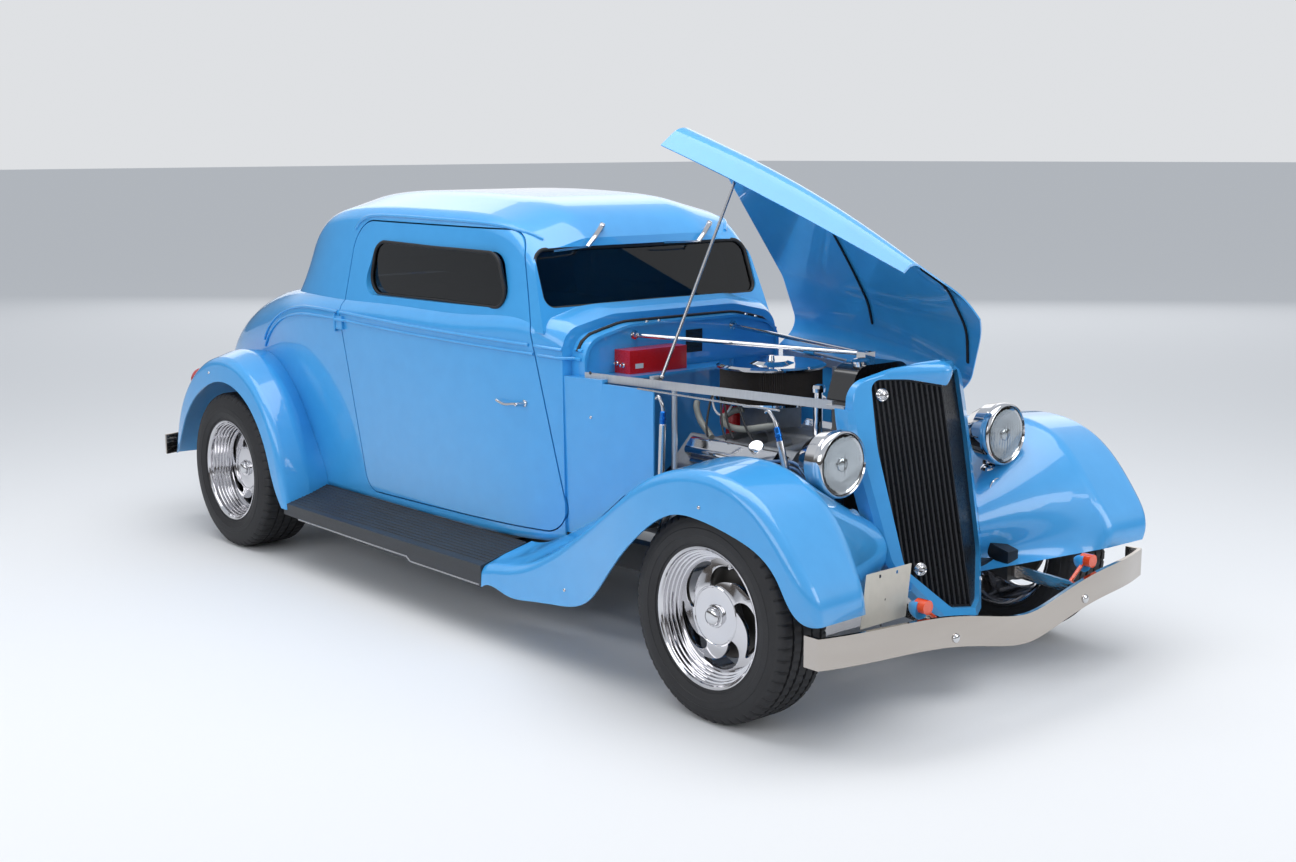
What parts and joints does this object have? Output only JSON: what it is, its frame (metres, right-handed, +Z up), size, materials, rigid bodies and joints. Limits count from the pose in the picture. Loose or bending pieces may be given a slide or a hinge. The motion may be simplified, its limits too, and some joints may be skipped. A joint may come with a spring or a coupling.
{
  "type": "hot rod coupe",
  "caption": "Full-fendered three-window steel coupe built as a hot rod, with its side-hinged hood propped open over a bright engine.",
  "frame": {"origin": "on the ground under the middle of the bounding box", "axes": "+X forward to the nose, +Y to the car's left, +Z up"},
  "size_m": [4.146, 1.5912, 1.6632],
  "materials": {
    "light_blue_paint": "gloss solid colour",
    "black_metal": "satin",
    "tinted_glass": "dark tint",
    "clear_glass": "fluted",
    "bright_steel": "bright",
    "black_rubber": "ribbed",
    "chrome": "polished",
    "aluminium": "mill",
    "polished_alloy": "polished",
    "engine_metal": "painted",
    "filter_paper": "pleated",
    "seat_cloth": "woven",
    "black_plastic": "matte",
    "red_plastic": "gloss",
    "amber_plastic": "gloss",
    "plate_metal": "blank",
    "tyre": "matte"
  },
  "bodies": {
    "chassis": {"cab": "light_blue_paint", "firewall": "light_blue_paint", "floor": "black_metal", "fixed_glass": "tinted_glass", "frame": "black_metal", "front_axle": "bright_steel", "rear_axle": "black_metal", "front_fenders": "light_blue_paint", "rear_fenders": "light_blue_paint", "running_boards": "black_rubber", "grille_shell": "light_blue_paint", "grille_bars": "black_metal", "radiator": "black_metal", "stay_rods": "chrome", "hood_rails": "aluminium", "headlamps": "chrome", "headlamp_lenses": "clear_glass", "front_bumper": "chrome", "rear_bumper": "chrome", "engine": "engine_metal", "engine_chrome": "chrome", "air_filter": "filter_paper", "exhaust": "bright_steel", "seat": "seat_cloth", "dashboard": "black_plastic", "steering_wheel": "black_plastic", "tail_lamps": "red_plastic", "turn_signals": "amber_plastic", "front_plate": "plate_metal", "wipers": "chrome", "ignition_box": "red_plastic", "hose": "black_rubber"},
    "door_left": {"door_left": "light_blue_paint", "glass_left": "tinted_glass", "door_handle_left": "chrome"},
    "door_right": {"door_right": "light_blue_paint", "glass_right": "tinted_glass", "door_handle_right": "chrome"},
    "deck_lid": {"deck_lid": "light_blue_paint"},
    "hood": {"hood": "light_blue_paint"},
    "prop_rod": {"prop_rod": "bright_steel"},
    "tie_rod": {"tie_rod": "bright_steel"},
    "knuckle_left": {"knuckle_left": "bright_steel"},
    "knuckle_right": {"knuckle_right": "bright_steel"},
    "wheel_front_left": {"wheel_front_left": "polished_alloy", "tyre_front_left": "tyre"},
    "wheel_front_right": {"wheel_front_right": "polished_alloy", "tyre_front_right": "tyre"},
    "wheel_rear_left": {"wheel_rear_left": "polished_alloy", "tyre_rear_left": "tyre"},
    "wheel_rear_right": {"wheel_rear_right": "polished_alloy", "tyre_rear_right": "tyre"}
  },
  "joints": [
    {"name": "steer_left", "type": "hinge", "parent": "chassis", "child": "knuckle_left", "pos_m": [1.533, 0.56, 0.306], "axis": [0, 0, 1], "range_deg": [-28, 28]},
    {"name": "front_left_roll", "type": "hinge", "parent": "knuckle_left", "child": "wheel_front_left", "pos_m": [1.533, 0.66, 0.306], "axis": [0, 1, 0], "continuous": true},
    {"name": "rear_left_roll", "type": "hinge", "parent": "chassis", "child": "wheel_rear_left", "pos_m": [-1.312, 0.62, 0.316], "axis": [0, 1, 0], "continuous": true},
    {"name": "door_left_swing", "type": "hinge", "parent": "chassis", "child": "door_left", "pos_m": [-0.655, 0.6115, 0.7], "axis": [0, 0, 1], "range_deg": [0, 68]},
    {"name": "steer_right", "type": "hinge", "parent": "chassis", "child": "knuckle_right", "pos_m": [1.533, -0.56, 0.306], "axis": [0, 0, 1], "range_deg": [-28, 28]},
    {"name": "front_right_roll", "type": "hinge", "parent": "knuckle_right", "child": "wheel_front_right", "pos_m": [1.533, -0.66, 0.306], "axis": [0, 1, 0], "continuous": true},
    {"name": "rear_right_roll", "type": "hinge", "parent": "chassis", "child": "wheel_rear_right", "pos_m": [-1.312, -0.62, 0.316], "axis": [0, 1, 0], "continuous": true},
    {"name": "door_right_swing", "type": "hinge", "parent": "chassis", "child": "door_right", "pos_m": [-0.655, -0.6115, 0.7], "axis": [0, 0, -1], "range_deg": [0, 68]},
    {"name": "tie_rod_pivot", "type": "hinge", "parent": "knuckle_right", "child": "tie_rod", "pos_m": [1.408, -0.56, 0.23], "axis": [0, 0, 1], "range_deg": [-28, 28]},
    {"name": "deck_lid_hinge", "type": "hinge", "parent": "chassis", "child": "deck_lid", "pos_m": [-1.238, 0, 1.075], "axis": [0, 1, 0], "range_deg": [0, 48]},
    {"name": "hood_hinge", "type": "hinge", "parent": "chassis", "child": "hood", "pos_m": [0.633, 0.46, 0.895], "axis": [0.9718, -0.2353, -0.0184], "range_deg": [0, 50]},
    {"name": "prop_rod_pivot", "type": "hinge", "parent": "hood", "child": "prop_rod", "pos_m": [0.99089, -0.09629, 1.52923], "axis": [0.2302, -0.9055, 0.3565], "range_deg": [0, 76.63]}
  ],
  "couplings": [
    {"joint": "steer_left", "follows": "steer_right", "ratio": 1},
    {"joint": "tie_rod_pivot", "follows": "steer_right", "ratio": -1},
    {"joint": "prop_rod_pivot", "follows": "hood_hinge", "ratio": 1.5326}
  ]
}
